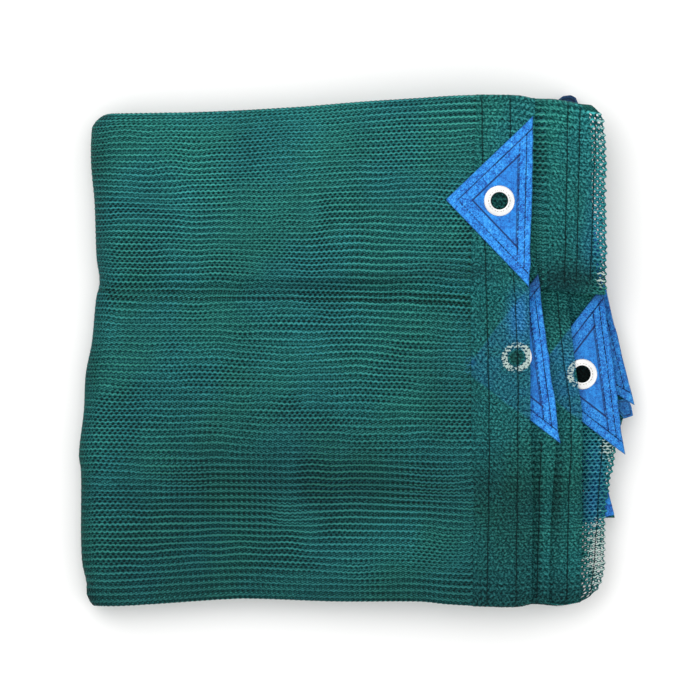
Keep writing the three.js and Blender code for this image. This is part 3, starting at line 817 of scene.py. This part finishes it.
def openSkin(grid, u, v, fromEdge):      # the same for an edge that shows the floor, which also frays
    strand, hole, course = knitFields(u, v)
    scallop = smooth(6, 0, fromEdge) * (.9 * course + .7 * softNoise(u * 0, v * 1.3, 61))
    grid[:, :, 0] += scallop * .75
    grid[:, :, 2] += .25 * softNoise(u * 2, v * .8, 63)
    return .12 * strand - .12 * hole + .06 * softNoise(u * 4, v * 4, 62), softNoise(u * 1.3, v * 1.3, 64) > .55


def makeSkin(name, layer, low, high, start, width, isOpen=False):
    rows, columns = skinRows(layer, low, high), skinColumns(start, width)
    grid = clothGrid(rows, columns)
    normal = gridNormals(grid)
    faceUp = normal[len(rows) // 2, len(columns) // 2, 2] > 0
    normal = normal if faceUp else -normal
    cell = knit["perCell"]
    iu, iv = np.meshgrid(round(start / knit["wale"] * cell) + np.arange(len(columns)),
                         round((low - foldedBottom) / knit["course"] * cell) + np.arange(len(rows)))
    u, v = iu / cell, iv / cell
    fromEdge = hemPlace(columns)
    x, y = grid[:, :, 0], grid[:, :, 1]
    values = clothLooks(layer, x, y, fromEdge)
    holes = nearHole(iu, iv, 0) | nearHole(iu, iv, cell // 2)
    if isOpen:
        values["hem"] = skin["edgeHem"]
        values["shade"] = values["shade"] * skin["edgeShade"]
        relief, closed = openSkin(grid, u, v, fromEdge)
        torn = nearHole(iu + 1, iv, 0) & (softNoise(u * 1.7, v * 1.7, 65) > .05) & (fromEdge > 2.5)
        holes = (holes & ~closed) | torn
    else:
        relief, closed = closedSkin(grid, u, v, values)
        holes = holes & ~closed
    if layer == "outer":
        shift = warp(x, y) * smooth(4, 20, fromEdge) * smooth(2, 16, x - along(leftSide, y))
        planX, planY = planned(x, y)
        grid[:, :, 2] += layerHeight(layer, 1, planX, planY + shift) - layerHeight(layer, 1, planX, planY)
        grid[:, :, 1] += shift
        holes = holes | (fromEyelet(patches[0], x, y) <= eyeletSize["hole"] + .6)
    points = rounded(grid + normal * relief[:, :, None], iu, iv)
    faces = quadsOf(len(rows), len(columns), ~holes[:-1, :-1])
    piece = meshOf(name, points, faces if faceUp else faces[:, ::-1], (u, v), values, openKnit)
    if isOpen:
        thicken(piece, skin["edgePly"])
    return piece


def courseRow(count):        # the row so many courses above the lower fold
    return foldedBottom + count * knit["course"]


skins = [   # name, layer, lowest and highest row, where it starts from the hemmed edge and how wide it is
    ("netTopLow", "outer", courseRow(-.5), courseRow(22), 0.0, None),
    ("netTopMiddle", "outer", courseRow(22), courseRow(47), 0.0, None),
    ("netTopHigh", "outer", courseRow(47), courseRow(75), 0.0, None),
    ("netSideHigh", "shortUpper", courseRow(46), courseRow(75), 10.0, 52.0),
    ("netSideSecond", "second", courseRow(-.5), courseRow(44), 0.0, 42.0),
    ("netSideThird", "third", courseRow(-.5), courseRow(44), 0.0, 42.0),
]
openEdges = {   # hem edges that show the floor through them: layer, rows, width from the edge
    "netEdgeLow": ("inner", -184.0, -30.0, 43.0 * 8 / 12),
    "netEdgeHigh": ("shortUpper", 46.0, 176.0, 43.0 * 3 / 12),
}
bands = [makeSkin(*row) for row in skins]
print("upper layers knitted", [len(b.data.polygons) for b in bands])
edgePieces = [makeSkin(name, layer, low, high, 0.0, width, True)
              for name, (layer, low, high, width) in openEdges.items()]
print("open edges knitted", [len(p.data.polygons) for p in edgePieces])

# The whole folded cloth
folded = {
    "rowStep": 6.0, "foldSteps": 5,
    "columns": (12, 50, 12),       # faces across the hem, the body and the left fold
    "thickness": .7, "rib": .6,
    "underSkins": .58, "elsewhere": .92,            # painted shade: darker under the skins so their holes show dark, lighter elsewhere
    "eyeletHoleShade": ((patches[2], .04), (patches[0], .85)),      # painted shade down the open eyelets: patch, how dark
}


def lengthsAlong(grid, axis):      # mean way along one side of a grid
    steps = np.linalg.norm(np.diff(grid, axis=axis), axis=2).mean(axis=1 - axis)
    return np.concatenate([[0], np.cumsum(steps)])


def foldedCloth():
    places, columns = stripPlaces(folded["rowStep"], folded["foldSteps"]), stripColumns(*folded["columns"])
    grid = clothGrid(places, columns)
    width, length = lengthsAlong(grid, 1), lengthsAlong(grid, 0)
    print("flat size of the cloth, mm:", round(width[-1]), round(length[-1]))
    uv = width[None] / knit["wale"], length[:, None] / knit["course"]
    hem = 1 - smooth(42, 44, hemPlace(columns))
    isTop = np.array([[p.layer == p.other == "outer"] for p in places])
    under = isTop & np.array([[c.half >= 0 for c in columns]])
    x, y = grid[:, :, 0], grid[:, :, 1]
    shade = np.where(under, folded["underSkins"], folded["elsewhere"]) + .06 * softNoise(x, y, 51, 30)
    # painted shade down the open eyelets
    for patch, low in folded["eyeletHoleShade"]:
        shade = shade * mix(low, 1, smooth(8, 12, fromEyelet(patch, x, y)))
    values = {"hem": hem, "shade": shade, "tint": 0.0, "rib": folded["rib"]}
    keep = np.ones((len(places) - 1, len(columns) - 1), dtype=bool)
    for layer, low, high, width in openEdges.values():      # these are knitted apart, with real holes
        ownRow = [a.layer == b.layer == a.other == b.other == layer and low < (a.row + b.row) / 2 < high
                  for a, b in zip(places, places[1:])]
        ownColumn = [a.half == b.half == 1 and a.fromEdge is not None and b.fromEdge is not None
                     and max(a.fromEdge, b.fromEdge) < width + .5 for a, b in zip(columns, columns[1:])]
        keep &= ~np.outer(ownRow, ownColumn)
    piece = meshOf("netFolded", grid, quadsOf(*shade.shape, keep), uv, values, backKnit)
    thicken(piece, folded["thickness"])
    return piece


netFolded = foldedCloth()
print("folded cloth made", len(netFolded.data.polygons))

# Tarpaulin patches
tarp = {
    "dark": (.006, .062, .330),
    "base": (.023, .300, .860),
    "light": (.120, .550, .990),
    # dark navy of the painted shade along the folds and of the stitches drawn on the patch
    "foldShadeAndStitches": (.003, .018, .110),
    "shades": (1.0, .97, .84, .78, .84, .80),      # painted shade of each patch, darker as deep as it lies
    "shadedTips": {2: (-64, -36, .30), 3: (-62, -46, .22)},      # painted shadow where a tip goes under the layers above: patch: from, to along its long side, shade
    "seat": 1.45,            # mm from the middle of the net's layer to the middle of the patch
    "ply": .4,
    "border": 13.7,          # width of the folded border along the two short sides
    "longFold": 10.5,        # and along the long side
    "borderStep": .35,
    "stitchInset": 6.2,
    "longStitches": (4.4, 9.5),
    "step": 1.1,
    "weave": 2.1,
    "specular": .22,
}


def tarpMaterial():
    board = Board("blueTarpaulin")
    a, b = board.uv()        # mm inwards and sideways on the patch
    seed, border = board.attribute("seed"), board.attribute("border")
    along1, along2 = (a + b) * .7071, (a - b) * .7071
    weave = (along1 * (fullTurn / tarp["weave"])).sin() * (along2 * (fullTurn / tarp["weave"])).sin()
    flecks = board.grain(along1 * .95, along2 * .45, seed) + board.grain(along1 * .5, along2 * 1.1, seed + 3.0)
    here = board.join(a * .1, b * .1, seed)
    soft = board.noise(here, 1.1, 3.0, .6)
    crease = board.noise(here, 1.6, 3.0, .55, "RIDGED_MULTIFRACTAL")
    fold = abs(board.grain(a * .07, b * .16, seed + 9.0, 1.0, .4)).ease(.0, .012)
    cross = board.noise(board.join(a * .28, b * .05, seed), 1.2, 3.0, .6)
    rough = border * .6 + .5
    # creases, crinkle lines and cross wrinkles are painted light and shade in the colour, as well as bumps; the
    # blotches, weave and flecks are the tarpaulin's own
    look = ((soft - .5) * .55 - (1 - fold) * .22 + (crease - .55) * .40 + (cross - .5) * .45
            + weave * rough * .07 + flecks * rough * 1.4 + border * .04 + .50)
    colour = board.ramp(look.clamp(), [(0.0, tarp["dark"]), (.5, tarp["base"]), (1.0, tarp["light"])])

    def near(value, place, width):
        return (1 - abs(value - place) / width).clamp()

    inset = tarp["stitchInset"]
    fromLeg = (-(abs(b) + a) + patchSize["height"]) * .7071
    dashed = ((b - a) * (fullTurn / 3.6)).cos().ease(-.7, -.1)
    # painted shade along the folded borders; the seams are the stitches drawn as dashes
    foldShade = near(fromLeg, tarp["border"], 1.0) * a.ease(6, 12)
    foldShade = foldShade + near(a, tarp["longFold"], .8) * fromLeg.ease(10, 16) * .7
    onLong = near(a, tarp["longStitches"][0], .8) + near(a, tarp["longStitches"][1], .8)
    seams = near(fromLeg, inset, .8) + onLong * fromLeg.ease(inset - .5, inset + .5)
    lines = (foldShade * (.7 + soft * .5) + seams * dashed * .75) * board.attribute("ruled")
    lines = lines + board.attribute("line")
    colour = board.shaded(board.blend((lines * 1.3).clamp(), colour, tarp["foldShadeAndStitches"]))
    relief = crease * .5 + soft * .5 + weave * .06 + flecks * rough * .5 - lines * .3
    board.set(Base_Color=colour, Normal=board.bump(relief, .6, .0012), Roughness=(.40 + soft * .2).clamp(),
              Specular_IOR_Level=tarp["specular"])
    return board.material


def patchPlace(patch, inwards, sideways, seat):      # in mm; points of the frame, so far above the net's layer
    x, y = patchXY(patch, inwards, sideways)
    return framed(x, y, layerHeight(patch.layer, patch.half, x, y) + seat)


def makePatch(k, patch, material):
    height = patchSize["height"]
    down, wide = round(height / tarp["step"]), round(1.7 * height / tarp["step"])
    s, t = np.meshgrid(np.linspace(0, .992, down + 1), np.linspace(-1, 1, wide + 1), indexing="ij")
    a = s * height
    b = (height - a) * t
    fromLeg = (height - a - np.abs(b)) * .7071
    away = np.hypot(a - patchSize["eyeletInset"], b - patch.aside)
    border = np.maximum(1 - smooth(tarp["border"] - .5, tarp["border"] + .5, fromLeg),
                        1 - smooth(tarp["longFold"] - .5, tarp["longFold"] + .5, a))
    wrinkle = .34 * softNoise(a, b, 70 + k, 11) + .20 * softNoise(a, b, 80 + k, 5)
    wrinkle += .22 * softNoise(a * .25, b, 90 + k, 4) * np.exp(-(a / 14) ** 2)
    pucker = -.28 * np.exp(-((fromLeg - tarp["stitchInset"]) / 1.1) ** 2)
    for inset in tarp["longStitches"]:
        pucker = pucker - .22 * np.exp(-((a - inset) / 1.1) ** 2)
    curl = .25 * softNoise(a * .1, b, 100 + k, 16) * (1 - smooth(0, 6, np.minimum(fromLeg, a)))
    flat = smooth(eyeletSize["flange"] - 1, eyeletSize["flange"] + 7, away)
    seat = tarp["seat"] + border * tarp["borderStep"] + (wrinkle + pucker + curl) * flat
    points = patchPlace(patch, a, b, seat)
    wobble = .5 * softNoise(a * .2, b, 110 + k, 9)
    points[:, :, 0] += wobble * math.cos(math.radians(patch.angle)) * (1 - smooth(0, 5, a))
    keep = (away[:-1, :-1] + away[1:, 1:]) / 2 > eyeletSize["barrel"]
    shade = tarp["shades"][k - 1]
    # painted shadow on the tip
    if k in tarp["shadedTips"]:
        low, high, dark = tarp["shadedTips"][k]
        shade = shade * mix(dark, 1, smooth(low, high, b))
    # painted shade along the patch's outer edges
    shade = shade * (1 - .45 * np.exp(-(np.minimum(fromLeg, a) / .5) ** 2))
    values = {"border": border, "ruled": 1.0, "seed": k * 3.7, "shade": shade}
    piece = meshOf(f"patchCloth_{k}", points, quadsOf(*a.shape, keep), (a, b), values, material)
    thicken(piece, tarp["ply"])
    return piece


corners = {   # small corners of tarpaulin that stick out: layer, half, seat, shade, outline in the frame's mm
    "patchCorner_high": ("second", -1, 2.15, .16, [
        (142, 170), (145, 180), (147.6, 184.4), (151, 187), (156.5, 187.8), (160.4, 186), (162.4, 181),
        (163, 170)]),
    "patchCorner_low": ("inner", -1, .85, .55, [
        (188, -36), (199, -35), (201.2, -41.5), (202.2, -47.4), (195.4, -49.6), (190.5, -44)]),
}


def lengthOf(line):          # how far each point lies along it
    return np.concatenate([[0], np.cumsum(np.linalg.norm(np.diff(line, axis=0), axis=1))])


def pointsAt(line, places):
    reach = lengthOf(line)
    return np.stack([np.interp(places, reach, line[:, k]) for k in range(line.shape[1])], axis=-1)


def makeCorner(name, layer, half, seat, shade, outline, material):
    outline = np.array(outline + outline[:1], dtype=float)
    rim = pointsAt(outline, np.linspace(0, lengthOf(outline)[-1], 61))
    centre = rim[:-1].mean(axis=0)
    shares = np.linspace(1, .02, 9)[:, None]
    flat = centre + (rim - centre)[None] * shares[:, :, None]
    x, y = planned(flat[:, :, 0], flat[:, :, 1])
    points = framed(x, y, layerHeight(layer, half, x, y) + seat + .12 * softNoise(x, y, 140, 4))
    seam = .6 * np.exp(-((shares - .75) / .06) ** 2)
    values = {"border": 1.0, "line": seam, "seed": 31.0, "shade": shade}
    piece = meshOf(name, points, quadsOf(*x.shape), (x, y), values, material)
    thicken(piece, tarp["ply"])
    return piece


# Stitches
stitch = {
    "sides": 6,
    "onPatch": {"length": 2.5, "gap": 1.1, "width": .42},
    "onHem": {"length": 2.9, "gap": .8, "width": .52},
    "bow": .18, "stray": .08,
    "navy": (.006, .012, .06),
    "green": (.001, .012, .014),
}


def stitchShape():           # one stitch, 1 mm long, lying along x
    deselectAll()
    bpy.ops.mesh.primitive_cylinder_add(vertices=stitch["sides"], radius=.5, depth=1, location=(0, 0, 0),
                                        rotation=(0, math.pi / 2, 0))
    piece = bpy.context.object
    bpy.ops.object.transform_apply(location=False, rotation=True, scale=False)
    bpy.ops.object.mode_set(mode="EDIT")
    bpy.ops.mesh.select_all(action="DESELECT")
    bpy.ops.object.mode_set(mode="OBJECT")
    for face in piece.data.polygons:
        face.select = abs(face.normal.x) > .9
    bpy.ops.object.mode_set(mode="EDIT")
    bpy.ops.mesh.inset(thickness=.18)
    bpy.ops.transform.resize(value=(1.25, 1, 1))
    bpy.ops.object.mode_set(mode="OBJECT")
    points = np.array([v.co[:] for v in piece.data.vertices])
    faces = [list(p.vertices) for p in piece.data.polygons]
    bpy.data.objects.remove(piece)
    return points, faces


stitchPoints, stitchFaces = stitchShape()


def stitchRow(name, lines, kind, material, seed):      # lines of points in mm, far denser than the stitches
    random = np.random.default_rng(seed)
    length, gap, width = kind["length"], kind["gap"], kind["width"]
    ahead1, side1, up1 = stitchPoints.T
    bow = (1 - (2 * ahead1) ** 2) * stitch["bow"]
    points, faces = [], []
    for line in lines:
        start, end = gap, lengthOf(line)[-1]
        while start + length < end:
            own = length * random.uniform(.9, 1.05)
            a, b = pointsAt(line, np.array([start, start + own]))
            ahead = (b - a) / np.linalg.norm(b - a)
            side = np.cross([0, 0, 1], ahead)
            side /= np.linalg.norm(side)
            up = np.cross(ahead, side)
            middle = (a + b) / 2 + side * random.uniform(-stitch["stray"], stitch["stray"])
            faces += [[i + len(points) * len(stitchPoints) for i in face] for face in stitchFaces]
            points.append(middle + np.outer(ahead1 * own, ahead) + np.outer(side1 * width, side)
                          + np.outer(up1 * width * .8 + bow, up))
            start += length + gap
    mesh = bpy.data.meshes.new(name)
    mesh.from_pydata((np.concatenate(points) * mm).tolist(), [], faces)
    mesh.polygons.foreach_set("use_smooth", np.ones(len(faces), dtype=bool))
    mesh.materials.append(material)
    return placed(name, mesh)


def threadMaterial(name, colour):
    board = Board(name)
    grain = board.noise(board.here(), 1500.0)
    stops = [(.3, tuple(c * .6 for c in colour)), (.8, tuple(c * 1.7 for c in colour))]
    board.set(Base_Color=board.ramp(grain, stops), Roughness=.6, Specular_IOR_Level=.1,
              Normal=board.bump(grain, .3, .0002))
    return board.material


def patchStitches(k, patch, material):
    height, inset = patchSize["height"], tarp["stitchInset"]
    top = tarp["seat"] + tarp["borderStep"] + tarp["ply"] / 2 - .15
    corner = height - inset / .7071
    a = np.linspace(.8, corner, 60)
    lines = [patchPlace(patch, a, side * (corner - a), top) for side in (-1, 1)]
    for a in tarp["longStitches"]:
        reach = height - a - inset * 1.2
        lines.append(patchPlace(patch, np.full(90, a), np.linspace(-reach, reach, 90), top))
    return stitchRow(f"patchStitches_{k}", lines, stitch["onPatch"], material, 200 + k)


def hemStitches(material):
    lines = []
    for layer, rows in hemLines.items():
        for line in rows:
            y = np.linspace(line[0][0], line[-1][0], 220)
            x = along(line, y) + .3 * softNoise(y, y * 0, 120, 12)
            over = .55 if layer == "inner" else 1.1      # there without a thick skin
            lines.append(framed(x, y, layerHeight(layer, 1, x, y) + over))
    return stitchRow("hemStitches", lines, stitch["onHem"], material, 300)


blueTarp = tarpMaterial()
navyThread = threadMaterial("navyThread", stitch["navy"])
greenThread = threadMaterial("greenThread", stitch["green"])
patchPieces = [makePatch(k + 1, patch, blueTarp) for k, patch in enumerate(patches)]
patchThreads = [patchStitches(k + 1, patch, navyThread) for k, patch in enumerate(patches)]
cornerPieces = [makeCorner(name, *row, blueTarp) for name, row in corners.items()]
print("patches sewn", [len(p.data.polygons) for p in patchPieces])

# Eyelets
ring = {
    "sides": 56,
    "profile": [   # radius, height over the patch: out from the hole's wall, over the crown and under
        (6.0, .1), (6.05, .75), (6.45, 1.12), (7.0, 1.2), (7.6, 1.08), (8.1, 1.0), (9.8, .98), (10.9, .6),
        (11.3, .12), (11.2, -.02), (10.9, -.02), (7.3, .0), (7.2, -3.0), (10.9, -3.1), (11.2, -3.3),
        (10.6, -3.8), (8.6, -4.0), (6.5, -3.9), (6.0, -3.3),
    ],
    "rimReach": 6.6,         # mm from the middle to where the painted shade on the hole's rim ends
    "seamReach": (7.6, 8.1), "seamHeight": .9,
    "metals": {   # colour, metallic
        "pressedMetal": ((.86, .865, .86), .65),
        # painted shade down the hole's rim, as a dark metal
        "eyeletRimShade": ((.10, .11, .11), .9),
        "eyeletSeam": ((.36, .34, .27), .5),
    },
}


def metalMaterial(name, colour, metallic):
    board = Board(name)
    here = board.here()
    scratch = board.noise(here, 420.0, 4.0, .7)
    wide = board.noise(here, 90.0)
    board.set(Base_Color=board.ramp(wide, [(.3, tuple(c * .86 for c in colour)), (.7, colour)]),
              Metallic=metallic, Roughness=(.30 + scratch * .2).clamp(), Normal=board.bump(scratch, .12, .0002))
    return board.material


def spunRing(name):          # its profile drawn out ring by ring
    deselectAll()
    first = ring["profile"][0]
    bpy.ops.mesh.primitive_circle_add(vertices=ring["sides"], radius=first[0] * mm,
                                      location=(0, 0, first[1] * mm))
    piece = bpy.context.object
    piece.name = name
    bpy.ops.object.transform_apply(location=True, rotation=False, scale=False)
    bpy.ops.object.mode_set(mode="EDIT")
    bpy.ops.mesh.select_all(action="SELECT")
    last = first
    for radius, z in ring["profile"][1:] + [first]:
        bpy.ops.mesh.extrude_region_move(TRANSFORM_OT_translate={"value": (0, 0, (z - last[1]) * mm)})
        bpy.ops.transform.resize(value=(radius / last[0], radius / last[0], 1), center_override=(0, 0, z * mm))
        last = (radius, z)
    bpy.ops.mesh.select_all(action="SELECT")
    bpy.ops.mesh.remove_doubles(threshold=.02 * mm)
    bpy.ops.mesh.normals_make_consistent(inside=False)
    bpy.ops.object.mode_set(mode="OBJECT")
    return piece


def makeEyelet(k, patch, materials):
    piece = spunRing(f"eyeletRing_{k}")
    for material in materials:
        piece.data.materials.append(material)
    low, high = ring["seamReach"]
    for face in piece.data.polygons:
        face.use_smooth = True
        reach = face.center.xy.length / mm
        isSeam = (low < reach < high and face.center.z > ring["seamHeight"] * mm
                  and round(math.atan2(*face.center.xy) * 7) % 2)
        face.material_index = 1 if reach < ring["rimReach"] else 2 if isSeam else 0
    inset, seat = patchSize["eyeletInset"], tarp["seat"] + tarp["ply"] / 2
    middle, ahead, beside = (patchPlace(patch, inset + a, patch.aside + b, seat)
                             for a, b in ((0, 0), (4, 0), (0, 4)))
    normal = Vector(np.cross(ahead - middle, beside - middle)).normalized()
    turn = Vector((0, 0, 1)).rotation_difference(normal).to_matrix().to_4x4()
    turn.translation = Vector(middle * mm)
    piece.data.transform(turn)
    return piece


metals = [metalMaterial(name, *row) for name, row in ring["metals"].items()]
eyeletPieces = [makeEyelet(k + 1, patch, metals) for k, patch in enumerate(patches)]
print("eyelets pressed")
hemThread = hemStitches(greenThread)
print("hems sewn")

# Pieces hung on the root, with the parts of model.glb they replace hidden
clothParts = [netFolded, *bands, *edgePieces]
for piece in clothParts:
    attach(piece, "root")
    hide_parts("net")
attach(hemThread, "root")
for piece, size in zip(cornerPieces, ((.022, .016), (.014, .014))):
    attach(piece, "root")
    size[0] * size[1] * .8
for k in range(len(patches)):
    for piece, slot, node in ((patchPieces[k], "patch", "patch"), (patchThreads[k], "patch", "patch"),
                              (eyeletPieces[k], "eyelet", "eyelet")):
        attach(piece, "root")
        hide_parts(f"{node}_{k + 1}")
